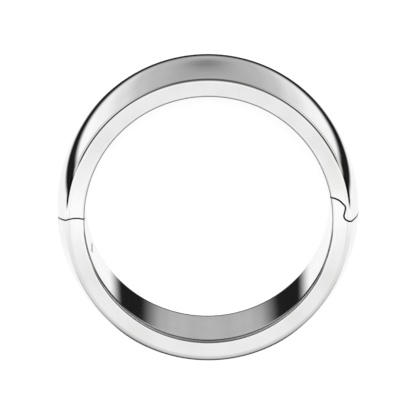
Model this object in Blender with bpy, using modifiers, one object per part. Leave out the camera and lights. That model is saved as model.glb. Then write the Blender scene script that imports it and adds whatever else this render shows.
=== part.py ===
"""Hinged rounded band ring, lying on its side.

The band is straight inside and domed outside, with small rounds where its two side faces meet both.
It is cut into an upper and a lower half. At the left a tongue on the upper half turns on a hidden pin
between two cheeks of the lower half. At the right the lower half's lip closes under the upper half's
hook along an S-shaped seam.

Metres, +Z up. The ring's axis is Z, the side face that it rests on is at z = 0, and the hinge is at -X.
"""

import math

import bmesh
import bpy
from mathutils import Vector

MM = 0.001

# Band
FINGER_RADIUS = 8.65 * MM
CREST_RADIUS = 10.6 * MM
DOME_RADIUS = 22.0 * MM
BAND_WIDTH = 10.4 * MM
OUTER_ROUND = 0.38 * MM
INNER_ROUND = 0.36 * MM
BAND_STEPS = 120
DOME_SEGMENTS = 12
ROUND_SEGMENTS = 4

# Hinge
HINGE = Vector((-9.246 * MM, -1.70 * MM))
SEAT_RADIUS = 1.81 * MM
SEAT_CLEARANCE = 0.10 * MM
SEAT_START_DEG = 155.0
SEAT_END_DEG = 60.0
KNUCKLE_RADIUS = 1.55 * MM
KNUCKLE_CLEARANCE = 0.15 * MM
KNUCKLE_RISE = 2.6 * MM
TONGUE_WIDTH = 3.4 * MM
TONGUE_SIDE_CLEARANCE = 0.10 * MM
PIN_RADIUS = 0.375 * MM
PIN_CLEARANCE = 0.06 * MM
PIN_COVER = 0.80 * MM
PIN_END_BEVEL = 0.06 * MM
PIN_SIDES = 24
ARC_STEP_DEG = 7.5

# Latch seam, from the finger hole to the outside: x, y and the round at each corner, in mm
LATCH_GAP = 0.15 * MM
LATCH_CORNERS = (
    {"name": "inside the finger hole", "x": 8.20, "y": 1.575, "round": 0.0},
    {"name": "top of the lip", "x": 9.14, "y": 1.490, "round": 0.75},
    {"name": "nose of the lip", "x": 9.60, "y": 0.800, "round": 0.30},
    {"name": "neck under the nose", "x": 9.51, "y": 0.060, "round": 0.26},
    {"name": "turn to the outside", "x": 9.90, "y": -0.140, "round": 0.50},
    {"name": "past the crest", "x": 11.00, "y": -0.235, "round": 0.0},
)

REACH = 12.0 * MM
WHITE_GOLD = (0.86, 0.85, 0.83, 1.0)
PIN_METAL = (0.72, 0.71, 0.70, 1.0)


def clear_scene() -> None:
    """Remove every object that the file starts with."""
    for item in list(bpy.data.objects):
        bpy.data.objects.remove(item, do_unlink=True)


def new_collection(name: str) -> bpy.types.Collection:
    """Make a collection under the scene's own."""
    collection = bpy.data.collections.new(name)
    bpy.context.scene.collection.children.link(collection)
    return collection


def metal(name: str, colour: tuple, roughness: float) -> bpy.types.Material:
    """Make a plain metal with a Principled BSDF."""
    material = bpy.data.materials.new(name)
    material.use_nodes = True
    shader = material.node_tree.nodes["Principled BSDF"]
    shader.inputs["Base Color"].default_value = colour
    shader.inputs["Metallic"].default_value = 1.0
    shader.inputs["Roughness"].default_value = roughness
    return material


def arc(centre: Vector, radius: float, start_deg: float, end_deg: float, segments: int) -> list:
    """Points along an arc, both ends included."""
    turns = [start_deg + (end_deg - start_deg) * step / segments for step in range(segments + 1)]
    return [centre + radius * Vector((math.cos(math.radians(a)), math.sin(math.radians(a)))) for a in turns]


def arc_segments(start_deg: float, end_deg: float) -> int:
    """How many equal segments of about ARC_STEP_DEG an arc takes."""
    return max(2, math.ceil(abs(end_deg - start_deg) / ARC_STEP_DEG))


def band_profile() -> list:
    """The band's section as (radius, height) points: down the domed outside, then up the inside."""
    half = BAND_WIDTH / 2
    dome_centre = Vector((CREST_RADIUS - DOME_RADIUS, half))
    round_lift = half - OUTER_ROUND
    round_reach = math.sqrt((DOME_RADIUS - OUTER_ROUND) ** 2 - round_lift ** 2)
    outer = dome_centre.x + round_reach
    dome_half_deg = math.degrees(math.atan2(round_lift, round_reach))
    inner = FINGER_RADIUS + INNER_ROUND
    high = BAND_WIDTH - INNER_ROUND
    points = arc(Vector((outer, half + round_lift)), OUTER_ROUND, 90, dome_half_deg, ROUND_SEGMENTS)
    points += arc(dome_centre, DOME_RADIUS, dome_half_deg, -dome_half_deg, DOME_SEGMENTS)[1:-1]
    points += arc(Vector((outer, half - round_lift)), OUTER_ROUND, -dome_half_deg, -90, ROUND_SEGMENTS)
    points += arc(Vector((inner, INNER_ROUND)), INNER_ROUND, -90, -180, ROUND_SEGMENTS)
    points += arc(Vector((inner, high)), INNER_ROUND, 180, 90, ROUND_SEGMENTS)
    return points


def turned_band(name: str, collection: bpy.types.Collection) -> bpy.types.Object:
    """The whole band as its section turned once about Z."""
    points = band_profile()
    count = len(points)
    mesh = bpy.data.meshes.new(name)
    edges = [(index, (index + 1) % count) for index in range(count)]
    mesh.from_pydata([(point.x, 0, point.y) for point in points], edges, [])
    band = bpy.data.objects.new(name, mesh)
    collection.objects.link(band)
    screw = band.modifiers.new("turn", "SCREW")
    screw.axis = "Z"
    screw.angle = math.tau
    screw.steps = BAND_STEPS
    screw.render_steps = BAND_STEPS
    screw.use_smooth_shade = True
    screw.use_merge_vertices = True
    screw.merge_threshold = 0.001 * MM
    return band


def rounded_corner(before: Vector, corner: Vector, after: Vector, radius: float) -> list:
    """The arc that rounds one corner of a path, as points from the first tangent to the second."""
    back = (before - corner).normalized()
    ahead = (after - corner).normalized()
    half_angle = back.angle(ahead) / 2
    centre = corner + (back + ahead).normalized() * radius / math.sin(half_angle)
    first = corner + back * radius / math.tan(half_angle) - centre
    last = corner + ahead * radius / math.tan(half_angle) - centre
    start_deg = math.degrees(math.atan2(first.y, first.x))
    turn_deg = (math.degrees(math.atan2(last.y, last.x)) - start_deg + 180) % 360 - 180
    return arc(centre, radius, start_deg, start_deg + turn_deg, arc_segments(0, turn_deg))


def latch_line(offset: float) -> list:
    """The latch seam from the finger hole outward, moved sideways by offset (plus is up)."""
    corners = [Vector((row["x"] * MM, row["y"] * MM)) for row in LATCH_CORNERS]
    line = [corners[0]]
    for index in range(1, len(corners) - 1):
        radius = LATCH_CORNERS[index]["round"] * MM
        line += rounded_corner(corners[index - 1], corners[index], corners[index + 1], radius)
    line.append(corners[-1])
    moved = []
    for index, point in enumerate(line):
        along = line[min(index + 1, len(line) - 1)] - line[max(index - 1, 0)]
        across = Vector((-along.y, along.x)).normalized()
        moved.append(point + across * offset)
    return moved


def seat_line(offset: float) -> list:
    """The hinge seam about the pin, from the outside to the finger hole."""
    segments = arc_segments(SEAT_START_DEG, SEAT_END_DEG)
    return arc(HINGE, SEAT_RADIUS + offset, SEAT_START_DEG, SEAT_END_DEG, segments)


def upper_outline() -> list:
    """All that lies above both seams, for the band's full width."""
    seat = seat_line(SEAT_CLEARANCE / 2)
    latch = latch_line(LATCH_GAP / 2)
    outside = [Vector((REACH, latch[-1].y)), Vector((REACH, REACH)), Vector((-REACH, REACH))]
    return seat + latch + outside + [Vector((-REACH, seat[0].y))]


def lower_outline() -> list:
    """All that lies below both seams, for the band's full width."""
    seat = seat_line(-SEAT_CLEARANCE / 2)
    latch = latch_line(-LATCH_GAP / 2)
    outside = [Vector((REACH, latch[-1].y)), Vector((REACH, -REACH)), Vector((-REACH, -REACH))]
    return seat + latch + outside + [Vector((-REACH, seat[0].y))]


def knuckle_outline(radius: float) -> list:
    """A round end about the pin, with straight sides that run up into the upper half."""
    end = arc(HINGE, radius, 180, 360, arc_segments(180, 360))
    top = HINGE.y + KNUCKLE_RISE
    return end + [Vector((HINGE.x + radius, top)), Vector((HINGE.x - radius, top))]


def prism(name: str, outline: list, width: float, collection: bpy.types.Collection) -> bpy.types.Object:
    """A flat outline made as thick as width about the middle of the band, as a closed mesh."""
    curve = bpy.data.curves.new(name + "_outline", "CURVE")
    curve.dimensions = "2D"
    curve.fill_mode = "BOTH"
    curve.extrude = width / 2
    spline = curve.splines.new("POLY")
    spline.points.add(len(outline) - 1)
    for point, place in zip(spline.points, outline):
        point.co = (place.x, place.y, 0, 1)
    spline.use_cyclic_u = True
    flat = bpy.data.objects.new(name + "_outline", curve)
    flat.location.z = BAND_WIDTH / 2
    collection.objects.link(flat)
    bpy.context.view_layer.update()
    evaluated = flat.evaluated_get(bpy.context.evaluated_depsgraph_get())
    mesh = bpy.data.meshes.new_from_object(evaluated)
    shape = bmesh.new()
    shape.from_mesh(mesh)
    bmesh.ops.remove_doubles(shape, verts=shape.verts, dist=0.0001 * MM)
    bmesh.ops.recalc_face_normals(shape, faces=shape.faces)
    shape.to_mesh(mesh)
    shape.free()
    solid = bpy.data.objects.new(name, mesh)
    solid.matrix_world = flat.matrix_world
    bpy.data.objects.remove(flat, do_unlink=True)
    return as_cutter(solid, collection)


def as_cutter(item: bpy.types.Object, collection: bpy.types.Collection) -> bpy.types.Object:
    """Show an object as a guide only."""
    for owner in list(item.users_collection):
        owner.objects.unlink(item)
    collection.objects.link(item)
    item.display_type = "WIRE"
    item.hide_render = True
    return item


def pin_cylinder(name: str, radius: float, cover: float) -> bpy.types.Object:
    """A cylinder on the hinge's axis that stops short of both side faces by cover."""
    bpy.ops.mesh.primitive_cylinder_add(
        vertices=PIN_SIDES,
        radius=radius,
        depth=BAND_WIDTH - 2 * cover,
        location=(HINGE.x, HINGE.y, BAND_WIDTH / 2),
    )
    cylinder = bpy.context.object
    cylinder.name = name
    return cylinder


def boolean(item: bpy.types.Object, name: str, operation: str, cutter: bpy.types.Object) -> None:
    """Add a Boolean modifier with the exact solver."""
    modifier = item.modifiers.new(name, "BOOLEAN")
    modifier.operation = operation
    modifier.solver = "EXACT"
    modifier.object = cutter


def build_upper_band(parts: bpy.types.Collection, cutters: bpy.types.Collection) -> bpy.types.Object:
    """The upper half with its hinge tongue, latch hook and the tongue's pin hole."""
    space = prism("upper_space", upper_outline(), 2 * BAND_WIDTH, cutters)
    tongue = prism("tongue_space", knuckle_outline(KNUCKLE_RADIUS), TONGUE_WIDTH, cutters)
    boolean(space, "add_tongue", "UNION", tongue)
    hole = as_cutter(pin_cylinder("tongue_hole", PIN_RADIUS + PIN_CLEARANCE, PIN_COVER), cutters)
    band = turned_band("upper_band", parts)
    boolean(band, "keep_upper_half", "INTERSECT", space)
    boolean(band, "drill_tongue", "DIFFERENCE", hole)
    band.data.materials.append(metal("upper_white_gold", WHITE_GOLD, 0.08))
    return band


def build_lower_band(parts: bpy.types.Collection, cutters: bpy.types.Collection) -> bpy.types.Object:
    """The lower half with its two hinge cheeks, their blind pin holes and the latch lip."""
    slot_width = TONGUE_WIDTH + 2 * TONGUE_SIDE_CLEARANCE
    slot_radius = KNUCKLE_RADIUS + KNUCKLE_CLEARANCE
    space = prism("lower_space", lower_outline(), 2 * BAND_WIDTH, cutters)
    slot = prism("slot_space", knuckle_outline(slot_radius), slot_width, cutters)
    boolean(space, "cut_slot", "DIFFERENCE", slot)
    cover = PIN_COVER - PIN_CLEARANCE
    hole = as_cutter(pin_cylinder("cheek_hole", PIN_RADIUS + PIN_CLEARANCE, cover), cutters)
    band = turned_band("lower_band", parts)
    boolean(band, "keep_lower_half", "INTERSECT", space)
    boolean(band, "drill_cheeks", "DIFFERENCE", hole)
    band.data.materials.append(metal("lower_white_gold", WHITE_GOLD, 0.08))
    return band


def build_hinge_pin(parts: bpy.types.Collection) -> bpy.types.Object:
    """The hidden pin, a plain round rod with bevelled ends."""
    pin = pin_cylinder("hinge_pin", PIN_RADIUS, PIN_COVER)
    for owner in list(pin.users_collection):
        owner.objects.unlink(pin)
    parts.objects.link(pin)
    pin.data.shade_smooth()
    pin.data.set_sharp_from_angle(angle=math.radians(40))
    bevel = pin.modifiers.new("end_bevel", "BEVEL")
    bevel.width = PIN_END_BEVEL
    bevel.segments = 1
    bevel.limit_method = "ANGLE"
    bevel.angle_limit = math.radians(60)
    pin.data.materials.append(metal("pin_metal", PIN_METAL, 0.2))
    return pin


def hang_on_hinge(item: bpy.types.Object, parts: bpy.types.Collection) -> None:
    """Give a piece a parent empty on the hinge's axis, and keep the piece where it is."""
    axis = bpy.data.objects.new("hinge_axis", None)
    axis.empty_display_size = CREST_RADIUS / 4
    axis.location = (HINGE.x, HINGE.y, BAND_WIDTH / 2)
    parts.objects.link(axis)
    item.parent = axis
    item.location = -axis.location


def main() -> None:
    """Build the ring."""
    clear_scene()
    parts = new_collection("hinged_band_ring")
    cutters = new_collection("cutters")
    build_upper_band(parts, cutters)
    lower_band = build_lower_band(parts, cutters)
    build_hinge_pin(parts)
    hang_on_hinge(lower_band, parts)


main()
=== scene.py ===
"""Looks of the hinged band ring: two polished white gold halves, a ground steel pin and a plain studio.

Metres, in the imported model's frame. The ring's axis is +Z and it lies on its far side face at z = 0, with
the latch at +X and the hinge at -X. The camera looks down at the near side face, 10 degrees off the axis.
"""

import logging
import math
from dataclasses import dataclass, field
from enum import Enum

import bmesh
import bpy
from mathutils import Euler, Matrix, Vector

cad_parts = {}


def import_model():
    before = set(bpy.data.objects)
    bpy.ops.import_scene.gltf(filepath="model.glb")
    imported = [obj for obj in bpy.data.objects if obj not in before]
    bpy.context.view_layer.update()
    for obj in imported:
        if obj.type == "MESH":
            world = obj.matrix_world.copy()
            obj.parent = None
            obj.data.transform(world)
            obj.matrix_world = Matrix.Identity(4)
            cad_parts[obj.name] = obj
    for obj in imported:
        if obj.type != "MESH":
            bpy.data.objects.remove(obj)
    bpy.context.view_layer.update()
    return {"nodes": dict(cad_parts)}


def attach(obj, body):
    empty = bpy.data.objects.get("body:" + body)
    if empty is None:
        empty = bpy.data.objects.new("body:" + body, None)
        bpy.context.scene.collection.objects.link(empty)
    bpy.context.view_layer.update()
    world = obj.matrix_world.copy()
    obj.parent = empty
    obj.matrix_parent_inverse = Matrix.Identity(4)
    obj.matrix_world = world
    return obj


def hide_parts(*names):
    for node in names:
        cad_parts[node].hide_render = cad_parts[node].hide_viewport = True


MM = 0.001
REACH = 12.0 * MM
SHARP_EDGE_DEG = 30.0
MERGE_DISTANCE = 0.0002 * MM
SIDE_FACE_TOLERANCE = 0.001 * MM
SKIN_MATCH = 0.9

log = logging.getLogger("band_ring")

Colour = tuple[float, float, float, float]
Span = tuple[float, float]
Bend = tuple[float, float, float, float]
Stops = tuple[tuple[float, str], ...]

WHITE: Colour = (1.0, 1.0, 1.0, 1.0)


class Half(Enum):
    """The two halves of the band. The value is the CAD body that a half rides on."""

    UPPER = "upper"
    LOWER = "lower"


class Carve(Enum):
    """How one solid shapes another."""

    KEEP = "INTERSECT"
    REMOVE = "DIFFERENCE"
    JOIN = "UNION"


def linear_channel(level: float) -> float:
    """Turn one sRGB channel, 0 to 1, to linear light."""
    return level / 12.92 if level <= 0.04045 else ((level + 0.055) / 1.055) ** 2.4


def linear_colour(hex_code: str) -> Colour:
    """Turn an sRGB hex colour to linear light.

    Args:
        hex_code: A colour such as "#F2F1EF".

    Returns:
        Red, green, blue and an alpha of 1.
    """
    digits = hex_code.lstrip("#")
    red, green, blue = (linear_channel(int(digits[at : at + 2], 16) / 255) for at in (0, 2, 4))
    return (red, green, blue, 1.0)


def add_node(
    tree: bpy.types.NodeTree,
    kind: str,
    links: dict | None = None,
    values: dict | None = None,
    stops: Stops = (),
    **settings: object,
) -> bpy.types.Node:
    """Add a shader node with its settings and links.

    Args:
        tree: The node tree that gets the node.
        kind: The node's type, without its ShaderNode prefix.
        links: Input socket, by name or index, to the output socket that feeds it.
        values: Input socket, by name or index, to its plain value.
        stops: Places and hex colours of a colour ramp.
        **settings: Properties of the node, such as operation="ADD".

    Returns:
        The new node.
    """
    node = tree.nodes.new("ShaderNode" + kind)
    for name, setting in settings.items():
        setattr(node, name, setting)
    for socket, value in (values or {}).items():
        node.inputs[socket].default_value = value
    for socket, source in (links or {}).items():
        tree.links.new(source, node.inputs[socket])
    if stops:
        ramp = node.color_ramp
        ramp.interpolation = "EASE"
        while len(ramp.elements) < len(stops):
            ramp.elements.new(1.0)
        for element, (place, hex_code) in zip(ramp.elements, stops):
            element.position = place
            element.color = linear_colour(hex_code)
    return node


def new_material(name: str) -> bpy.types.Material:
    """Make a material with an empty node tree.

    Args:
        name: Name of the material.

    Returns:
        The material.
    """
    material = bpy.data.materials.new(name)
    material.use_nodes = True
    material.node_tree.nodes.clear()
    return material


def new_object(name: str, shape: bmesh.types.BMesh) -> bpy.types.Object:
    """Turn a bmesh into an object at the origin, and free the bmesh.

    Args:
        name: Name of the object and its mesh.
        shape: The finished shape, in the ring's frame.

    Returns:
        The object, linked to the scene.
    """
    mesh = bpy.data.meshes.new(name)
    shape.to_mesh(mesh)
    shape.free()
    piece = bpy.data.objects.new(name, mesh)
    bpy.context.scene.collection.objects.link(piece)
    return piece


def carve(piece: bpy.types.Object, cutter: bpy.types.Object, how: Carve) -> None:
    """Shape a piece with a cutter, keep the result as its mesh and throw the cutter away.

    Args:
        piece: The solid that is shaped.
        cutter: The solid that shapes it.
        how: Keep what both share, remove the cutter's room, or join both.
    """
    modifier = piece.modifiers.new("carve", "BOOLEAN")
    modifier.operation = how.value
    modifier.solver = "EXACT"
    modifier.object = cutter
    bpy.context.view_layer.update()
    evaluated = piece.evaluated_get(bpy.context.evaluated_depsgraph_get())
    mesh = bpy.data.meshes.new_from_object(evaluated)
    piece.modifiers.clear()
    mesh.name = piece.name
    piece.data = mesh
    bpy.data.objects.remove(cutter, do_unlink=True)


def raise_outline(name: str, shape: bmesh.types.BMesh, low: float, high: float) -> bpy.types.Object:
    """Extrude the one flat face of a bmesh into a closed prism.

    Args:
        name: Name of the prism.
        shape: A bmesh with one face at z = 0.
        low: Height of the prism's underside.
        high: Height of its top.

    Returns:
        The prism as an object.
    """
    raised = bmesh.ops.extrude_face_region(shape, geom=list(shape.faces))
    top = [item for item in raised["geom"] if isinstance(item, bmesh.types.BMVert)]
    bmesh.ops.translate(shape, verts=top, vec=(0, 0, high - low))
    bmesh.ops.translate(shape, verts=list(shape.verts), vec=(0, 0, low))
    bmesh.ops.recalc_face_normals(shape, faces=list(shape.faces))
    return new_object(name, shape)


def hang_card(name: str, shape: bmesh.types.BMesh, material: bpy.types.Material) -> bpy.types.Object:
    """Hang a card in the studio that only the rays of polished metal see.

    Args:
        name: Name of the card.
        shape: Its flat shape, in the ring's frame.
        material: What the metal mirrors there.

    Returns:
        The card.
    """
    card = new_object(name, shape)
    card.data.materials.append(material)
    for ray in ("camera", "diffuse", "transmission", "shadow", "volume_scatter"):
        setattr(card, "visible_" + ray, False)
    return card


def show_shade(tree: bpy.types.NodeTree, share: bpy.types.NodeSocket, tone: str, strength: float) -> None:
    """Finish a card's material that shows a tone by a share and is clear otherwise.

    Args:
        tree: The material's node tree.
        share: How much of the tone shows.
        tone: The tone as an sRGB hex colour.
        strength: How brightly it shows.
    """
    clear = add_node(tree, "BsdfTransparent")
    shade = add_node(tree, "Emission", values={"Color": linear_colour(tone), "Strength": strength})
    mixed = add_node(
        tree, "MixShader", {0: share, 1: clear.outputs["BSDF"], 2: shade.outputs["Emission"]}
    )
    add_node(tree, "OutputMaterial", {"Surface": mixed.outputs["Shader"]})


def close_outline(shape: bmesh.types.BMesh) -> None:
    """Join all vertices of a bmesh, in the order they were made, into one closed face."""
    shape.verts.ensure_lookup_table()
    shape.faces.new(list(shape.verts))


@dataclass(frozen=True)
class BandSection:
    """The band's section: straight inside, domed outside, with its four edges rounded."""

    finger_radius: float = 8.65 * MM
    crest_radius: float = 10.6 * MM
    dome_radius: float = 22.0 * MM
    width: float = 10.4 * MM
    outer_round: float = 0.38 * MM
    inner_round: float = 0.23 * MM
    ease_radius: float = 5.0 * MM
    ease_deg: float = 7.0
    ease_steps: int = 10
    turn_steps: int = 360
    dome_steps: int = 24
    round_steps: int = 8

    @property
    def half_width(self) -> float:
        """Half of the band's width."""
        return self.width / 2

    @property
    def dome_centre(self) -> float:
        """Radius at which the dome's arc has its centre, in the band's middle plane."""
        return self.crest_radius - self.dome_radius

    @property
    def edge_radius(self) -> float:
        """Radius at which the dome would meet a side face without the round."""
        return self.dome_centre + math.sqrt(self.dome_radius**2 - self.half_width**2)

    @property
    def ease_start(self) -> float:
        """Distance from the middle plane at which the bore starts to flare."""
        reach = (self.ease_radius - self.inner_round) * math.sin(math.radians(self.ease_deg))
        return self.half_width - self.inner_round - reach

    @property
    def inner_centre(self) -> float:
        """Radius at which the inner round has its centre, so that it touches the flare and the side face."""
        reach = (self.ease_radius - self.inner_round) * math.cos(math.radians(self.ease_deg))
        return self.finger_radius + self.ease_radius - reach

    @property
    def round_centre(self) -> float:
        """Radius at which the outer round has its centre."""
        lift = self.half_width - self.outer_round
        return self.dome_centre + math.sqrt((self.dome_radius - self.outer_round) ** 2 - lift**2)

    def turned(self) -> bmesh.types.BMesh:
        """Draw the section and turn it once about the ring's axis.

        Returns:
            The whole band, closed, with its faces outwards.
        """
        shape = bmesh.new()
        near = shape.verts.new((self.edge_radius, 0, self.width))
        dome_angle = 2 * math.asin(self.half_width / self.dome_radius)
        centre = (self.dome_centre, 0, self.half_width)
        bmesh.ops.spin(
            shape, geom=[near], cent=centre, axis=(0, 1, 0), angle=dome_angle, steps=self.dome_steps
        )
        shape.verts.ensure_lookup_table()
        far = shape.verts[self.dome_steps]
        mouths = [self.mouth(shape, side) for side in (-1, 1)]
        for ends in ((far, mouths[0][1]), (mouths[0][0], mouths[1][0]), (mouths[1][1], near)):
            shape.edges.new(ends)
        self.round_corners(shape, [near, far])
        bmesh.ops.spin(
            shape,
            geom=list(shape.verts) + list(shape.edges),
            cent=(0, 0, 0),
            axis=(0, 0, 1),
            angle=math.tau,
            steps=self.turn_steps,
            use_merge=True,
        )
        bmesh.ops.remove_doubles(shape, verts=list(shape.verts), dist=MERGE_DISTANCE)
        bmesh.ops.recalc_face_normals(shape, faces=list(shape.faces))
        return shape

    def mouth(self, shape: bmesh.types.BMesh, side: int) -> tuple[bmesh.types.BMVert, bmesh.types.BMVert]:
        """Spin the two arcs by which the bore flares and then rounds over into a side face.

        Args:
            shape: The bmesh that gets the arcs.
            side: 1 for the near mouth, -1 for the far one.

        Returns:
            The first vertex, in the bore, and the last, on the side face.
        """
        ease = math.radians(self.ease_deg)
        height = self.half_width + side * self.ease_start
        start = shape.verts.new((self.finger_radius, 0, height))
        last = start
        for centre, level, angle, steps in (
            (self.finger_radius + self.ease_radius, self.ease_start, ease, self.ease_steps),
            (self.inner_centre, self.half_width - self.inner_round, math.pi / 2 - ease, self.round_steps),
        ):
            turned = bmesh.ops.spin(
                shape,
                geom=[last],
                cent=(centre, 0, self.half_width + side * level),
                axis=(0, 1, 0),
                angle=side * angle,
                steps=steps,
            )
            last = next(item for item in turned["geom_last"] if isinstance(item, bmesh.types.BMVert))
        return start, last

    def round_corners(self, shape: bmesh.types.BMesh, corners: list[bmesh.types.BMVert]) -> None:
        """Bevel the section's two outer corners.

        Args:
            shape: The section, before it is turned.
            corners: The vertices where the dome meets the side faces.
        """
        meeting_angle = math.pi / 2 + math.asin(self.half_width / self.dome_radius)
        bmesh.ops.bevel(
            shape,
            geom=corners,
            offset=self.outer_round / math.tan(meeting_angle / 2),
            offset_type="OFFSET",
            affect="VERTICES",
            segments=self.round_steps,
            profile=0.5,
            material=-1,
        )

    def normal_at(self, place: Vector) -> Vector:
        """Work out which way the band's true surface faces at a place.

        Args:
            place: A point on the band's surface, or inside its metal.

        Returns:
            The outward direction, or a zero vector for a point deep in the metal.
        """
        around = math.hypot(place.x, place.y)
        lift = abs(place.z - self.half_width)
        side = math.copysign(1.0, place.z - self.half_width)
        if around > self.round_centre:
            off_dome = Vector((around - self.dome_centre, lift))
            round_lift = self.half_width - self.outer_round
            dome_end = round_lift / (self.round_centre - self.dome_centre)
            off_round = Vector((around - self.round_centre, lift - round_lift))
            facing = off_dome if lift / off_dome.x <= dome_end else off_round
        elif around < self.inner_centre:
            flare_centre = self.finger_radius + self.ease_radius
            round_lift = self.half_width - self.inner_round
            flare_end = (round_lift - self.ease_start) / (flare_centre - self.inner_centre)
            off_flare = Vector((around - flare_centre, max(0.0, lift - self.ease_start)))
            off_round = Vector((around - self.inner_centre, lift - round_lift))
            facing = off_flare if off_flare.y <= -flare_end * off_flare.x else off_round
        elif lift > self.half_width - SIDE_FACE_TOLERANCE:
            facing = Vector((0.0, 1.0))
        else:
            return Vector((0, 0, 0))
        facing.normalize()
        return Vector((facing.x * place.x / around, facing.x * place.y / around, facing.y * side))


@dataclass(frozen=True)
class HiddenHinge:
    """The hinge at the left: a tongue of the upper half between two cheeks of the lower half."""

    x: float = -9.246 * MM
    y: float = -1.70 * MM
    seat_radius: float = 1.81 * MM
    seat_clearance: float = 0.10 * MM
    seat_start_deg: float = 155.0
    seat_end_deg: float = 60.0
    knuckle_radius: float = 1.55 * MM
    knuckle_clearance: float = 0.15 * MM
    knuckle_rise: float = 2.6 * MM
    tongue_width: float = 3.4 * MM
    tongue_side_clearance: float = 0.10 * MM
    pin_radius: float = 0.375 * MM
    pin_clearance: float = 0.06 * MM
    pin_cover: float = 0.80 * MM
    seat_steps: int = 40
    knuckle_steps: int = 48
    hole_sides: int = 48

    def sweep(self, shape: bmesh.types.BMesh, radius: float, start: float, end: float, steps: int) -> None:
        """Spin one vertex about the pin into an arc.

        Args:
            shape: The bmesh that gets the arc.
            radius: The arc's radius.
            start: Its first angle in degrees, counted from +X towards +Y.
            end: Its last angle in degrees.
            steps: The number of segments.
        """
        first = math.radians(start)
        place = (self.x + radius * math.cos(first), self.y + radius * math.sin(first), 0)
        vert = shape.verts.new(place)
        bmesh.ops.spin(
            shape,
            geom=[vert],
            cent=(self.x, self.y, 0),
            axis=(0, 0, 1),
            angle=math.radians(end - start),
            steps=steps,
        )
        shape.verts.ensure_lookup_table()

    def knuckle(self, name: str, radius: float, width: float, middle: float) -> bpy.types.Object:
        """Build a prism with a round end about the pin and straight sides that run up.

        Args:
            name: Name of the prism.
            radius: Radius of its round end.
            width: Its size along the pin.
            middle: Height of its middle.

        Returns:
            The prism.
        """
        shape = bmesh.new()
        self.sweep(shape, radius, 180, 360, self.knuckle_steps)
        for side in (1, -1):
            shape.verts.new((self.x + side * radius, self.y + self.knuckle_rise, 0))
        close_outline(shape)
        return raise_outline(name, shape, middle - width / 2, middle + width / 2)

    def hole(self, name: str, cover: float, section: BandSection) -> bpy.types.Object:
        """Build the room that the pin turns in.

        Args:
            name: Name of the cutter.
            cover: How much metal stays over each end of the hole.
            section: The band's section.

        Returns:
            The cutter.
        """
        shape = bmesh.new()
        radius = self.pin_radius + self.pin_clearance
        bmesh.ops.create_cone(
            shape,
            cap_ends=True,
            segments=self.hole_sides,
            radius1=radius,
            radius2=radius,
            depth=section.width - 2 * cover,
        )
        bmesh.ops.translate(shape, verts=list(shape.verts), vec=(self.x, self.y, section.half_width))
        return new_object(name, shape)


@dataclass(frozen=True)
class LatchCorner:
    """One corner of the latch seam, in mm, with the radius that rounds it."""

    x: float
    y: float
    radius: float = 0.0

    @property
    def place(self) -> Vector:
        """The corner's place in metres."""
        return Vector((self.x, self.y)) * MM


def latch_corners() -> tuple[LatchCorner, ...]:
    """List the corners of the S that the latch seam draws on the side face.

    Returns:
        The corners, from the finger hole to the outside.
    """
    return (
        LatchCorner(8.185, 1.570),
        LatchCorner(9.015, 1.540, 1.05),
        LatchCorner(9.633, 0.899, 0.31),
        LatchCorner(9.454, 0.153, 0.29),
        LatchCorner(9.745, -0.130, 0.57),
        LatchCorner(10.96, -0.235),
    )


@dataclass(frozen=True)
class LatchSeam:
    """The latch at the right: the lower half's lip closes under the upper half's hook."""

    corners: tuple[LatchCorner, ...] = field(default_factory=latch_corners)
    gap: float = 0.12 * MM
    corner_steps: int = 12

    def moved(self, offset: float) -> list[tuple[Vector, float]]:
        """Move the seam sideways, with every corner kept on its two moved sides.

        Args:
            offset: How far the seam moves, plus towards the upper half.

        Returns:
            The place and the bevel length of each corner.
        """
        places = [corner.place for corner in self.corners]
        ways = [(after - before).normalized() for before, after in zip(places, places[1:])]
        sides = [Vector((-way.y, way.x)) for way in ways]
        corners = [(places[0] + sides[0] * offset, 0.0)]
        for index in range(1, len(places) - 1):
            before, after = sides[index - 1], sides[index]
            middle = (before + after).normalized()
            bend = math.copysign(1.0, before.cross(after))
            radius = self.corners[index].radius * MM - bend * offset
            place = places[index] + middle * offset / middle.dot(before)
            corners.append((place, radius * math.tan(before.angle(after) / 2)))
        corners.append((places[-1] + sides[-1] * offset, 0.0))
        return corners


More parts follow.
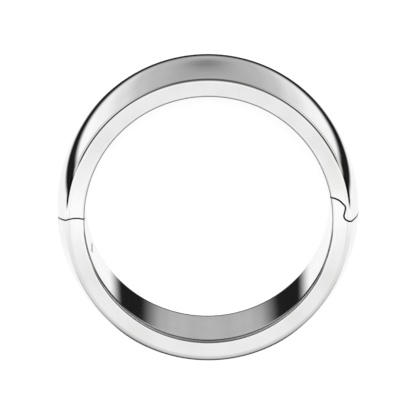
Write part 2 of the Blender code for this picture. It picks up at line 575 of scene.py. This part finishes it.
@dataclass(frozen=True)
class PolishedWhiteGold:
    """Rhodium-plated white gold, cast, turned and buffed on a felt wheel with rouge.

    It is a near-colourless mirror. Buffing leaves hairlines that run round the band, far too faint to
    see one by one, and a slight unevenness of the gloss where the wheel dwelt. Real hairlines lie
    about 0.01 mm apart, too fine to show, so they are drawn coarser.
    """

    light_tone: str = "#F7F7F7"
    deep_tone: str = "#F0F0EF"
    tone_band: Span = (0.35, 0.7)
    smooth_roughness: float = 0.030
    hazed_roughness: float = 0.055
    haze_band: Span = (0.3, 0.75)
    haze_patch: float = 2.5 * MM
    haze_detail: float = 3.0
    band_radius: float = 10 * MM
    hairline_spacing: float = 0.12 * MM
    hairline_length: float = 6.0 * MM
    hairline_depth: float = 0.000010 * MM
    hairline_detail: float = 4.0

    def material(self, name: str) -> bpy.types.Material:
        """Build the material.

        Args:
            name: Name of the material.

        Returns:
            The material.
        """
        material = new_material(name)
        tree = material.node_tree
        coords = add_node(tree, "TexCoord").outputs["Object"]
        haze = add_node(
            tree,
            "TexNoise",
            {"Vector": coords},
            {"Scale": 1 / self.haze_patch, "Detail": self.haze_detail},
        ).outputs["Fac"]
        tones = tuple(zip(self.tone_band, (self.light_tone, self.deep_tone)))
        tone = add_node(tree, "ValToRGB", {"Fac": haze}, stops=tones)
        roughness = add_node(
            tree,
            "MapRange",
            {"Value": haze},
            {
                "From Min": self.haze_band[0],
                "From Max": self.haze_band[1],
                "To Min": self.smooth_roughness,
                "To Max": self.hazed_roughness,
            },
        )
        shader = add_node(
            tree,
            "BsdfPrincipled",
            {
                "Base Color": tone.outputs["Color"],
                "Roughness": roughness.outputs["Result"],
                "Normal": self.hairlines(tree, coords),
            },
            {"Metallic": 1.0},
        )
        add_node(tree, "OutputMaterial", {"Surface": shader.outputs["BSDF"]})
        return material

    def hairlines(self, tree: bpy.types.NodeTree, coords: bpy.types.NodeSocket) -> bpy.types.NodeSocket:
        """Add the buffing hairlines that run round the band.

        Args:
            tree: The material's node tree.
            coords: Object coordinates.

        Returns:
            The bumped normal.
        """
        axes = add_node(tree, "SeparateXYZ", {"Vector": coords})
        x, y, z = (axes.outputs[axis] for axis in "XYZ")
        turn = add_node(tree, "Math", {0: y, 1: x}, operation="ARCTAN2").outputs["Value"]
        flat = add_node(tree, "CombineXYZ", {"X": x, "Y": y}).outputs["Vector"]
        around = add_node(tree, "VectorMath", {0: flat}, operation="LENGTH").outputs["Value"]
        run, across, height = (
            add_node(tree, "Math", {0: way}, {1: scale}, operation="MULTIPLY").outputs["Value"]
            for way, scale in (
                (turn, self.band_radius / self.hairline_length),
                (around, 1 / self.hairline_spacing),
                (z, 1 / self.hairline_spacing),
            )
        )
        stretched = add_node(tree, "CombineXYZ", {"X": run, "Y": across, "Z": height})
        lines = add_node(
            tree,
            "TexNoise",
            {"Vector": stretched.outputs["Vector"]},
            {"Scale": 1.0, "Detail": self.hairline_detail},
        )
        bump = add_node(
            tree,
            "Bump",
            {"Height": lines.outputs["Fac"]},
            {"Strength": 1.0, "Distance": self.hairline_depth},
        )
        return bump.outputs["Normal"]


@dataclass(frozen=True)
class ToolMarkedMetal:
    """Metal as a tool left it, with fine marks stacked along Z that spread its highlight."""

    light_tone: str
    deep_tone: str
    roughness: float
    mark_length: float
    mark_spacing: float
    mark_depth: float
    mark_detail: float = 2.0
    bump_strength: float = 0.6
    tone_band: Span = (0.3, 0.7)

    def material(self, name: str) -> bpy.types.Material:
        """Build the material.

        Args:
            name: Name of the material.

        Returns:
            The material.
        """
        material = new_material(name)
        tree = material.node_tree
        coords = add_node(tree, "TexCoord").outputs["Object"]
        scale = (1 / self.mark_length, 1 / self.mark_length, 1 / self.mark_spacing)
        placed = add_node(tree, "Mapping", {"Vector": coords}, {"Scale": scale}).outputs["Vector"]
        marks = add_node(
            tree, "TexNoise", {"Vector": placed}, {"Scale": 1.0, "Detail": self.mark_detail}
        ).outputs["Fac"]
        tones = tuple(zip(self.tone_band, (self.deep_tone, self.light_tone)))
        tone = add_node(tree, "ValToRGB", {"Fac": marks}, stops=tones)
        bump = add_node(
            tree,
            "Bump",
            {"Height": marks},
            {"Strength": self.bump_strength, "Distance": self.mark_depth},
        )
        shader = add_node(
            tree,
            "BsdfPrincipled",
            {"Base Color": tone.outputs["Color"], "Normal": bump.outputs["Normal"]},
            {"Metallic": 1.0, "Roughness": self.roughness},
        )
        add_node(tree, "OutputMaterial", {"Surface": shader.outputs["BSDF"]})
        return material


@dataclass(frozen=True)
class MilledGoldSeamShade(ToolMarkedMetal):
    """White gold as the cutter left it, where the halves meet and the wheel can't reach.

    It is satin and has tool marks. Its tone, far greyer than the polished skin, is painted shade, so the
    seams read as dark lines.
    """

    # Both tones are painted seam shade: far darker than the polished skin, so the gaps between the halves
    # read dark.
    light_tone: str = "#A9A7A3"
    deep_tone: str = "#8B8985"
    roughness: float = 0.42
    mark_length: float = 2.5 * MM
    mark_spacing: float = 0.06 * MM
    mark_depth: float = 0.0006 * MM


@dataclass(frozen=True)
class GroundSteel(ToolMarkedMetal):
    """Hardened steel rod, centreless ground.

    Grinding leaves fine rings round the rod, which spread its highlight along its length. Real rings
    lie about 0.01 mm apart, too fine to show, so they are drawn coarser.
    """

    light_tone: str = "#CFCFCE"
    deep_tone: str = "#B4B3B1"
    roughness: float = 0.24
    mark_length: float = 5.0 * MM
    mark_spacing: float = 0.05 * MM
    mark_depth: float = 0.0004 * MM


@dataclass
class BandHalf:
    """One half of the band with its side of the hinge and of the latch."""

    half: Half
    section: BandSection
    hinge: HiddenHinge
    latch: LatchSeam
    finish: PolishedWhiteGold
    # The milled metal of the seam and hinge faces, toned dark as painted shade.
    inside: MilledGoldSeamShade

    def outline(self) -> bmesh.types.BMesh:
        """Draw all that lies on this half's side of both seams, as one flat face.

        Returns:
            A bmesh with that face at z = 0.
        """
        upward = 1.0 if self.half is Half.UPPER else -1.0
        hinge = self.hinge
        shape = bmesh.new()
        radius = hinge.seat_radius + upward * hinge.seat_clearance / 2
        hinge.sweep(shape, radius, hinge.seat_start_deg, hinge.seat_end_deg, hinge.seat_steps)
        seat_height = shape.verts[0].co.y
        corners = [
            (shape.verts.new((place.x, place.y, 0)), bevel)
            for place, bevel in self.latch.moved(upward * self.latch.gap / 2)
        ]
        latch_height = corners[-1][0].co.y
        for x, y in (
            (REACH, latch_height),
            (REACH, upward * REACH),
            (-REACH, upward * REACH),
            (-REACH, seat_height),
        ):
            shape.verts.new((x, y, 0))
        close_outline(shape)
        for vert, bevel in corners:
            if bevel > 0:
                bmesh.ops.bevel(
                    shape,
                    geom=[vert],
                    offset=bevel,
                    offset_type="OFFSET",
                    affect="VERTICES",
                    segments=self.latch.corner_steps,
                    profile=0.5,
                    material=-1,
                )
        return shape

    def room(self) -> bpy.types.Object:
        """Build the room that this half fills, with the tongue added or its slot taken out.

        Returns:
            The room as a solid.
        """
        hinge, section = self.hinge, self.section
        room = raise_outline(self.half.value + "_room", self.outline(), -REACH, section.width + REACH)
        if self.half is Half.UPPER:
            tongue = hinge.knuckle("tongue", hinge.knuckle_radius, hinge.tongue_width, section.half_width)
            carve(room, tongue, Carve.JOIN)
        else:
            radius = hinge.knuckle_radius + hinge.knuckle_clearance
            width = hinge.tongue_width + 2 * hinge.tongue_side_clearance
            slot = hinge.knuckle("slot", radius, width, section.half_width)
            carve(room, slot, Carve.REMOVE)
        return room

    def build(self) -> bpy.types.Object:
        """Cut the half from the turned band, smooth it and polish it.

        Returns:
            The finished piece, riding on its body.
        """
        name = self.half.value + "_band_polished"
        piece = new_object(name, self.section.turned())
        carve(piece, self.room(), Carve.KEEP)
        cover = self.hinge.pin_cover - (self.hinge.pin_clearance if self.half is Half.LOWER else 0.0)
        carve(piece, self.hinge.hole("pin_hole", cover, self.section), Carve.REMOVE)
        self.clean(piece.data)
        piece.data.materials.clear()
        piece.data.materials.append(self.finish.material("rhodium_plated_white_gold_" + self.half.value))
        # The second slot, on the seam and hinge faces, is milled metal whose dark tone is painted shade.
        piece.data.materials.append(self.inside.material("milled_gold_seam_shade_" + self.half.value))
        self.smooth(piece.data)
        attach(piece, self.half.value)
        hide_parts(self.half.value + "_band")
        return piece

    def clean(self, mesh: bpy.types.Mesh) -> None:
        """Merge doubles and drop slivers that the cuts left.

        Args:
            mesh: The half's mesh.
        """
        shape = bmesh.new()
        shape.from_mesh(mesh)
        bmesh.ops.remove_doubles(shape, verts=list(shape.verts), dist=MERGE_DISTANCE)
        bmesh.ops.dissolve_degenerate(shape, edges=list(shape.edges), dist=MERGE_DISTANCE)
        shape.to_mesh(mesh)
        shape.free()

    def smooth(self, mesh: bpy.types.Mesh) -> None:
        """Shade the half smooth, with the band's true directions on its skin, so that it mirrors cleanly.

        Args:
            mesh: The half's mesh.
        """
        mesh.shade_smooth()
        mesh.set_sharp_from_angle(angle=math.radians(SHARP_EDGE_DEG))
        normals = [Vector(corner.vector) for corner in mesh.corner_normals]
        for face in mesh.polygons:
            on_skin = self.section.normal_at(face.center).dot(face.normal) > SKIN_MATCH
            # Faces off the skin, on the seams and the hinge, take the second slot and its painted shade tone.
            face.material_index = 0 if on_skin else 1
            if on_skin:
                for corner in face.loop_indices:
                    vertex = mesh.vertices[mesh.loops[corner].vertex_index]
                    normals[corner] = self.section.normal_at(vertex.co)
        mesh.normals_split_custom_set(normals)


@dataclass(frozen=True)
class GlossyBackdrop:
    """The studio that the polished metal mirrors behind the ring, which nothing else sees.

    A white sweep, a dark gap across it, and above the gap a sky that is grey in the middle and turns
    white to both sides. Places on it are shares of its distance. The bends of the gap each hold where
    they start and end beside the middle, and their first and last value.
    """

    distance: float = 265 * MM
    size: float = 530 * MM
    strength: float = 1.06
    rim_fade: Span = (0.82, 0.98)
    sweep_tone: str = "#F4F4F4"
    gap_tone: str = "#1C1C1C"
    gap_low: Span = (-0.068, -0.017)
    gap_high: Span = (0.043, 0.145)
    gap_crown: Bend = (0.0, 0.17, 0.08, 0.0)
    gap_dip: Bend = (0.3, 0.7, 0.0, 0.075)
    gap_narrowing: Bend = (0.2, 0.55, 1.0, 1.3)
    gap_widening: Bend = (0.75, 1.0, 1.0, 0.4)
    sky_origin: float = -0.05
    sky_middle: Span = (0.0, 0.2)
    middle_tones: Stops = (
        (0.08, "#A4A4A4"),
        (0.16, "#B4B4B4"),
        (0.24, "#A2A2A2"),
        (0.32, "#868686"),
        (0.42, "#868686"),
        (0.52, "#949494"),
        (0.68, "#A6A6A6"),
        (0.85, "#B4B4B4"),
    )
    side_tones: Stops = (
        (0.14, "#AEAEAE"),
        (0.27, "#B6B6B6"),
        (0.37, "#C2C2C2"),
        (0.48, "#DDDDDD"),
        (0.62, "#F1F1F1"),
        (0.72, "#F8F8F8"),
    )

    def build(self) -> bpy.types.Object:
        """Build the card.

        Returns:
            The card.
        """
        shape = bmesh.new()
        bmesh.ops.create_grid(shape, x_segments=1, y_segments=1, size=self.size / 2)
        bmesh.ops.translate(shape, verts=list(shape.verts), vec=(0, 0, -self.distance))
        return hang_card("glossy_backdrop", shape, self.material())

    def material(self) -> bpy.types.Material:
        """Build the backdrop's light, drawn on its Object coordinates.

        Returns:
            The material.
        """
        material = new_material("studio_backdrop_light")
        tree = material.node_tree
        coords = add_node(tree, "TexCoord").outputs["Object"]
        scale = (1 / self.distance,) * 3
        scaled = add_node(tree, "Mapping", {"Vector": coords}, {"Scale": scale})
        axes = add_node(tree, "SeparateXYZ", {"Vector": scaled.outputs["Vector"]})
        ahead = axes.outputs["Y"]
        sideways, forward = (
            add_node(tree, "Math", {0: way}, operation="ABSOLUTE").outputs["Value"]
            for way in (axes.outputs["X"], ahead)
        )
        sky = self.sky(tree, ahead, sideways)
        crown, dip, narrowing, widening = (
            add_node(
                tree,
                "MapRange",
                {"Value": sideways},
                {"From Min": start, "From Max": end, "To Min": first, "To Max": last},
            ).outputs["Result"]
            for start, end, first, last in (
                self.gap_crown,
                self.gap_dip,
                self.gap_narrowing,
                self.gap_widening,
            )
        )
        drop = add_node(tree, "Math", {0: dip, 1: crown}, operation="ADD").outputs["Value"]
        low = add_node(tree, "Math", {0: ahead, 1: drop}, operation="ADD").outputs["Value"]
        stretch = add_node(tree, "Math", {0: narrowing, 1: widening}, operation="MULTIPLY")
        high = add_node(tree, "Math", {0: ahead, 1: stretch.outputs["Value"]}, operation="MULTIPLY")
        rim = add_node(tree, "Math", {0: sideways, 1: forward}, operation="MAXIMUM")
        past_low, past_high, past_rim = (
            add_node(
                tree,
                "MapRange",
                {"Value": way},
                {"From Min": span[0], "From Max": span[1]},
                interpolation_type="SMOOTHSTEP",
            ).outputs["Result"]
            for way, span in (
                (low, self.gap_low),
                (high.outputs["Value"], self.gap_high),
                (rim.outputs["Value"], self.rim_fade),
            )
        )
        whole = sky
        for share, tone in ((past_high, self.gap_tone), (past_low, self.sweep_tone)):
            whole = add_node(
                tree, "Mix", {0: share, 7: whole}, {6: linear_colour(tone)}, data_type="RGBA"
            ).outputs[2]
        light = add_node(tree, "Emission", {"Color": whole}, {"Strength": self.strength})
        clear = add_node(tree, "BsdfTransparent")
        card = add_node(
            tree,
            "MixShader",
            {0: past_rim, 1: light.outputs["Emission"], 2: clear.outputs["BSDF"]},
        )
        add_node(tree, "OutputMaterial", {"Surface": card.outputs["Shader"]})
        return material

    def sky(
        self, tree: bpy.types.NodeTree, ahead: bpy.types.NodeSocket, sideways: bpy.types.NodeSocket
    ) -> bpy.types.NodeSocket:
        """Add the sky's colour, which depends on the way from its origin and in the middle on the height.

        Args:
            tree: The material's node tree.
            ahead: The place along Y, as a share of the distance.
            sideways: The distance from the middle along X, likewise.

        Returns:
            The colour.
        """
        height = add_node(
            tree, "Math", {0: ahead}, {1: self.sky_origin}, operation="SUBTRACT"
        ).outputs["Value"]
        angle = add_node(tree, "Math", {0: sideways, 1: height}, operation="ARCTAN2").outputs["Value"]
        spread = add_node(
            tree, "Math", {0: angle}, {1: 2 / math.pi}, operation="MULTIPLY"
        ).outputs["Value"]
        middle = add_node(tree, "ValToRGB", {"Fac": ahead}, stops=self.middle_tones)
        sides = add_node(tree, "ValToRGB", {"Fac": spread}, stops=self.side_tones)
        off_middle = add_node(
            tree,
            "MapRange",
            {"Value": spread},
            {"From Min": self.sky_middle[0], "From Max": self.sky_middle[1]},
            interpolation_type="SMOOTHSTEP",
        )
        both = add_node(
            tree,
            "Mix",
            {0: off_middle.outputs["Result"], 6: middle.outputs["Color"], 7: sides.outputs["Color"]},
            data_type="RGBA",
        )
        return both.outputs[2]


@dataclass(frozen=True)
class StudioFloor:
    """A matt white paper sweep that the ring lies on. The metal doesn't mirror it."""

    size: float = 6.0
    tone: str = "#F4F4F4"
    glow: float = 0.7
    glow_strength: float = 1.12

    def build(self) -> bpy.types.Object:
        """Build the floor.

        Returns:
            The floor.
        """
        shape = bmesh.new()
        bmesh.ops.create_grid(shape, x_segments=1, y_segments=1, size=self.size / 2)
        floor = new_object("studio_floor", shape)
        material = new_material("matt_white_paper")
        tree = material.node_tree
        paper = add_node(tree, "BsdfDiffuse", values={"Color": linear_colour(self.tone)})
        lit = add_node(tree, "Emission", values={"Color": WHITE, "Strength": self.glow_strength})
        both = add_node(
            tree, "MixShader", {1: paper.outputs["BSDF"], 2: lit.outputs["Emission"]}, {0: self.glow}
        )
        add_node(tree, "OutputMaterial", {"Surface": both.outputs["Shader"]})
        floor.data.materials.append(material)
        floor.visible_glossy = False
        return floor


@dataclass(frozen=True)
class PaperShade:
    """The shade that the ring throws on the paper, as its polished front mirrors it."""

    width: float = 64 * MM
    depth: float = 60 * MM
    front: float = -11 * MM
    below: float = 0.6 * MM
    reach_sideways: float = 30 * MM
    reach_forward: float = 60 * MM
    full_share: float = 0.10
    tone: str = "#464646"
    strength: float = 1.06

    def build(self) -> bpy.types.Object:
        """Build the card.

        Returns:
            The card.
        """
        shape = bmesh.new()
        bmesh.ops.create_grid(shape, x_segments=1, y_segments=1, size=0.5)
        bmesh.ops.scale(shape, verts=list(shape.verts), vec=(self.width, self.depth, 1))
        place = (0, self.front - self.depth / 2, -self.below)
        bmesh.ops.translate(shape, verts=list(shape.verts), vec=place)
        return hang_card("mirrored_shade", shape, self.material())

    def material(self) -> bpy.types.Material:
        """Build the shade, which fades out sideways and forwards.

        Returns:
            The material.
        """
        material = new_material("shaded_paper")
        tree = material.node_tree
        coords = add_node(tree, "TexCoord").outputs["Object"]
        placed = add_node(
            tree,
            "Mapping",
            {"Vector": coords},
            {
                "Location": (0, -self.front / self.reach_forward, 0),
                "Scale": (1 / self.reach_sideways, 1 / self.reach_forward, 0),
            },
        )
        reach = add_node(tree, "VectorMath", {0: placed.outputs["Vector"]}, operation="LENGTH")
        share = add_node(
            tree,
            "MapRange",
            {"Value": reach.outputs["Value"]},
            {"From Min": self.full_share, "From Max": 1.0, "To Min": 1.0, "To Max": 0.0},
            interpolation_type="SMOOTHSTEP",
        ).outputs["Result"]
        show_shade(tree, share, self.tone, self.strength)
        return material


@dataclass(frozen=True)
class HoleShade:
    """The shade below the finger hole, as the inner edges mirror it: a dark ring and a strip across."""

    radius: float = 6.2 * MM
    rim_steps: int = 64
    below: float = 0.5 * MM
    ring_inside: float = 4.4 * MM
    ring_share: float = 0.85
    strip_middle: float = -1.85 * MM
    strip_half: float = 1.7 * MM
    fade: float = 0.4 * MM
    tone: str = "#141414"
    strength: float = 1.0

    def build(self) -> bpy.types.Object:
        """Build the card.

        Returns:
            The card.
        """
        shape = bmesh.new()
        bmesh.ops.create_circle(shape, cap_ends=True, segments=self.rim_steps, radius=self.radius)
        bmesh.ops.translate(shape, verts=list(shape.verts), vec=(0, 0, -self.below))
        return hang_card("hole_shade", shape, self.material())

    def material(self) -> bpy.types.Material:
        """Build the shade, clear between the ring and the strip.

        Returns:
            The material.
        """
        material = new_material("shaded_paper_in_the_hole")
        tree = material.node_tree
        coords = add_node(tree, "TexCoord").outputs["Object"]
        level = add_node(tree, "Mapping", {"Vector": coords}, {"Scale": (1, 1, 0)}).outputs["Vector"]
        reach = add_node(tree, "VectorMath", {0: level}, operation="LENGTH").outputs["Value"]
        forward = add_node(tree, "SeparateXYZ", {"Vector": coords}).outputs["Y"]
        off_middle = add_node(
            tree, "Math", {0: forward}, {1: self.strip_middle}, operation="SUBTRACT"
        ).outputs["Value"]
        depth = add_node(tree, "Math", {0: off_middle}, operation="ABSOLUTE").outputs["Value"]
        ring, strip = (
            add_node(
                tree,
                "MapRange",
                {"Value": way},
                {"From Min": edge - self.fade, "From Max": edge + self.fade, "To Min": first, "To Max": last},
                interpolation_type="SMOOTHSTEP",
            ).outputs["Result"]
            for way, edge, first, last in (
                (reach, self.ring_inside, 0.0, self.ring_share),
                (depth, self.strip_half, 1.0, 0.0),
            )
        )
        share = add_node(tree, "Math", {0: ring, 1: strip}, operation="MAXIMUM").outputs["Value"]
        show_shade(tree, share, self.tone, self.strength)
        return material


@dataclass(frozen=True)
class FaceGlow:
    """A diffuser above the ring, brighter along its middle, that the flat side face mirrors."""

    half_size: float = 13 * MM
    height: float = 30.4 * MM
    shift: float = -3.1 * MM
    reach: float = 4.6 * MM
    tone: str = "#ECECEC"
    middle_tone: str = "#FCFCFC"
    strength: float = 1.06

    def build(self) -> bpy.types.Object:
        """Build the card.

        Returns:
            The card.
        """
        shape = bmesh.new()
        bmesh.ops.create_grid(shape, x_segments=1, y_segments=1, size=self.half_size)
        bmesh.ops.translate(shape, verts=list(shape.verts), vec=(0, self.shift, self.height))
        return hang_card("overhead_diffuser", shape, self.material())

    def material(self) -> bpy.types.Material:
        """Build the diffuser's light.

        Returns:
            The material.
        """
        material = new_material("diffuser_light")
        tree = material.node_tree
        coords = add_node(tree, "TexCoord").outputs["Object"]
        forward = add_node(tree, "SeparateXYZ", {"Vector": coords}).outputs["Y"]
        off_middle = add_node(tree, "Math", {0: forward}, {1: self.shift}, operation="SUBTRACT")
        away = add_node(tree, "Math", {0: off_middle.outputs["Value"]}, operation="ABSOLUTE")
        share = add_node(
            tree,
            "MapRange",
            {"Value": away.outputs["Value"]},
            {"From Min": 0.0, "From Max": self.reach},
            interpolation_type="SMOOTHSTEP",
        )
        colour = add_node(
            tree,
            "Mix",
            {0: share.outputs["Result"]},
            {6: linear_colour(self.middle_tone), 7: linear_colour(self.tone)},
            data_type="RGBA",
        )
        light = add_node(tree, "Emission", {"Color": colour.outputs[2]}, {"Strength": self.strength})
        add_node(tree, "OutputMaterial", {"Surface": light.outputs["Emission"]})
        return material


@dataclass(frozen=True)
class SoftLight:
    """A square softbox that points at the ring."""

    name: str
    place: tuple[float, float, float]
    size: float
    power: float

    def build(self, target: Vector) -> bpy.types.Object:
        """Build the light and point it.

        Args:
            target: The point that it faces.

        Returns:
            The light.
        """
        data = bpy.data.lights.new(self.name, "AREA")
        data.energy = self.power
        data.size = self.size
        light = bpy.data.objects.new(self.name, data)
        light.location = self.place
        light.rotation_euler = (target - light.location).to_track_quat("-Z", "Y").to_euler()
        light.visible_camera = False
        light.visible_glossy = False
        bpy.context.scene.collection.objects.link(light)
        return light


@dataclass(frozen=True)
class LightTent:
    """The surroundings: plain white to the eye, and for the metal a light tent with dark slits.

    Each way round has its tones from straight down, 0, to straight up, 1. A turn is 0 towards the
    lower edge of the picture, 0.5 to both sides and 1 towards its upper edge.
    """

    strength: float = 1.06
    behind: Stops = (
        (0.008, "#B0B0B0"),
        (0.03, "#888888"),
        (0.067, "#9E9E9E"),
        (0.095, "#B8B8B8"),
        (0.18, "#B0B0B0"),
        (0.25, "#A8A8A8"),
        (0.38, "#686868"),
        (0.45, "#525252"),
        (0.67, "#525252"),
        (0.76, "#808080"),
        (0.81, "#B0B0B0"),
        (0.883, "#DCDCDC"),
        (0.953, "#FFFFFF"),
        (1.00, "#ECECEC"),
    )
    flank: Stops = (
        (0.076, "#B8B8B8"),
        (0.213, "#BEBEBE"),
        (0.37, "#EAEAEA"),
        (0.50, "#E0E0E0"),
        (0.57, "#B0B0B0"),
        (0.62, "#404040"),
        (0.655, "#0A0A0A"),
        (0.785, "#0A0A0A"),
        (0.825, "#A8A8A8"),
        (0.866, "#D8D8D8"),
        (0.95, "#F8F8F8"),
        (1.00, "#ECECEC"),
    )
    front: Stops = (
        (0.00, "#5A5A5A"),
        (0.12, "#5A5A5A"),
        (0.33, "#787878"),
        (0.50, "#AEAEAE"),
        (0.62, "#C8C8C8"),
        (0.75, "#D0D0D0"),
        (0.87, "#D4D4D4"),
        (0.96, "#DCDCDC"),
        (1.00, "#ECECEC"),
    )
    sides: Stops = (
        (0.00, "#D8D8D8"),
        (0.07, "#D8D8D8"),
        (0.35, "#E2E2E2"),
        (0.70, "#E2E2E2"),
        (0.87, "#E6E6E6"),
        (1.00, "#ECECEC"),
    )
    flank_turn: Span = (0.99, 0.87)
    front_turn: Span = (0.0, 0.25)
    back_share: Stops = ((0.50, "#000000"), (0.62, "#FFFFFF"))
    opening: Stops = ((0.25, "#000000"), (0.42, "#FFFFFF"), (0.56, "#FFFFFF"), (0.64, "#000000"))
    opening_tone: str = "#FAFAFA"
    slit: Stops = ((0.44, "#000000"), (0.475, "#FFFFFF"), (0.565, "#FFFFFF"), (0.615, "#000000"))
    slit_height: Stops = ((0.00, "#FFFFFF"), (0.62, "#FFFFFF"), (0.74, "#000000"))
    slit_tone: str = "#101010"

    def build(self) -> bpy.types.World:
        """Build the world.

        Returns:
            The world.
        """
        world = bpy.data.worlds.new("light_tent")
        bpy.context.scene.world = world
        world.use_nodes = True
        tree = world.node_tree
        tree.nodes.clear()
        tent = self.tent(tree)
        seen = add_node(tree, "Background", {"Color": tent}, {"Strength": self.strength})
        plain = add_node(tree, "Background", values={"Color": WHITE, "Strength": 1.0})
        ray = add_node(tree, "LightPath").outputs["Is Glossy Ray"]
        mixed = add_node(
            tree,
            "MixShader",
            {0: ray, 1: plain.outputs["Background"], 2: seen.outputs["Background"]},
        )
        add_node(tree, "OutputWorld", {"Surface": mixed.outputs["Shader"]})
        return world

    def tent(self, tree: bpy.types.NodeTree) -> bpy.types.NodeSocket:
        """Add the tent's colour, by the way that a mirrored ray goes.

        Args:
            tree: The world's node tree.

        Returns:
            The colour.
        """
        direction = add_node(tree, "TexCoord").outputs["Generated"]
        axes = add_node(tree, "SeparateXYZ", {"Vector": direction})
        level = add_node(tree, "CombineXYZ", {"X": axes.outputs["X"], "Y": axes.outputs["Y"]})
        way = add_node(tree, "VectorMath", {0: level.outputs["Vector"]}, operation="NORMALIZE")
        ahead = add_node(tree, "SeparateXYZ", {"Vector": way.outputs["Vector"]}).outputs["Y"]
        rise, turn = (
            add_node(tree, "MapRange", {"Value": part}, {"From Min": -1.0, "From Max": 1.0}).outputs["Result"]
            for part in (axes.outputs["Z"], ahead)
        )
        behind, flank, front, sides, slit_height = (
            add_node(tree, "ValToRGB", {"Fac": rise}, stops=stops).outputs["Color"]
            for stops in (self.behind, self.flank, self.front, self.sides, self.slit_height)
        )
        back_share, opening, slit = (
            add_node(tree, "ValToRGB", {"Fac": turn}, stops=stops).outputs["Color"]
            for stops in (self.back_share, self.opening, self.slit)
        )
        to_flank, to_sides = (
            add_node(
                tree, "MapRange", {"Value": turn}, {"From Min": first, "From Max": last}
            ).outputs["Result"]
            for first, last in (self.flank_turn, self.front_turn)
        )
        back_half, front_half = (
            add_node(tree, "Mix", {0: share, 6: first, 7: last}, data_type="RGBA").outputs[2]
            for share, first, last in ((to_flank, behind, flank), (to_sides, front, sides))
        )
        slits = add_node(tree, "Math", {0: slit, 1: slit_height}, operation="MULTIPLY").outputs["Value"]
        colour = add_node(
            tree, "Mix", {0: back_share, 6: front_half, 7: back_half}, data_type="RGBA"
        ).outputs[2]
        for share, tone in ((opening, self.opening_tone), (slits, self.slit_tone)):
            colour = add_node(
                tree, "Mix", {0: share, 6: colour}, {7: linear_colour(tone)}, data_type="RGBA"
            ).outputs[2]
        return colour


@dataclass(frozen=True)
class Studio:
    """Floor, light, tent, and the cards that the metal alone sees."""

    floor: StudioFloor = StudioFloor()
    backdrop: GlossyBackdrop = GlossyBackdrop()
    shade: PaperShade = PaperShade()
    hole_shade: HoleShade = HoleShade()
    face_glow: FaceGlow = FaceGlow()
    key: SoftLight = SoftLight(name="soft_key", place=(0.0, 0.24, 0.97), size=0.20, power=6.0)
    tent: LightTent = LightTent()

    def build(self, target: Vector) -> None:
        """Build the studio.

        Args:
            target: The point that the light faces.
        """
        for part in (self.floor, self.backdrop, self.shade, self.hole_shade, self.face_glow, self.tent):
            part.build()
        self.key.build(target)


@dataclass(frozen=True)
class ProductCamera:
    """A long lens that looks down at the ring from 10 degrees off its axis."""

    lens: float = 1500.0
    sensor: float = 36.0
    frame_width: float = 29.25 * MM
    off_axis_deg: float = 10.0
    turn_deg: float = -0.4
    aim_right: float = 0.007 * MM
    aim_up: float = -0.077 * MM
    near_share: float = 0.01
    far_share: float = 10.0

    def build(self, middle: Vector) -> bpy.types.Object:
        """Build the camera and make it the scene's.

        Args:
            middle: The middle of the ring.

        Returns:
            The camera.
        """
        data = bpy.data.cameras.new("product_camera")
        data.lens = self.lens
        data.sensor_width = self.sensor
        camera = bpy.data.objects.new("product_camera", data)
        tilt = math.radians(self.off_axis_deg)
        turn = Euler((-tilt, math.radians(self.turn_deg), 0))
        back = Vector((0, 0, 1))
        back.rotate(turn)
        up = Vector((0, 1, 0))
        up.rotate(turn)
        distance = self.frame_width * self.lens / self.sensor
        camera.location = middle + Vector((self.aim_right, 0, 0)) + up * self.aim_up + back * distance
        camera.rotation_euler = turn
        data.clip_start = distance * self.near_share
        data.clip_end = distance * self.far_share
        bpy.context.scene.collection.objects.link(camera)
        bpy.context.scene.camera = camera
        return camera


@dataclass
class BandRing:
    """The ring: both halves round their frame, and the pin that joins them."""

    section: BandSection = BandSection()
    hinge: HiddenHinge = HiddenHinge()
    latch: LatchSeam = LatchSeam()
    gold: PolishedWhiteGold = PolishedWhiteGold()
    # Milled metal for the seam faces, with painted shade in its tone.
    milled_seam_shade: MilledGoldSeamShade = MilledGoldSeamShade()
    steel: GroundSteel = GroundSteel()

    def build(self, nodes: dict) -> list[bpy.types.Object]:
        """Build both halves and dress the CAD's pin.

        Args:
            nodes: The CAD nodes by name.

        Returns:
            The pieces.
        """
        pieces = [
            BandHalf(half, self.section, self.hinge, self.latch, self.gold, self.milled_seam_shade).build()
            for half in Half
        ]
        pin = nodes["hinge_pin"]
        pin.data.materials.clear()
        pin.data.materials.append(self.steel.material("centreless_ground_steel"))
        return [*pieces, pin]


def main() -> None:
    """Load the frame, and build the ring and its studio."""
    logging.basicConfig(level=logging.INFO, format="%(name)s: %(message)s")
    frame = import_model()
    ring = BandRing()
    for piece in ring.build(frame["nodes"]):
        log.info("%s: %d faces", piece.name, len(piece.data.polygons))
    middle = Vector((0, 0, ring.section.half_width))
    ProductCamera().build(middle)
    Studio().build(middle)
    bpy.context.scene.view_settings.view_transform = "Standard"


if __name__ == "__main__":
    main()
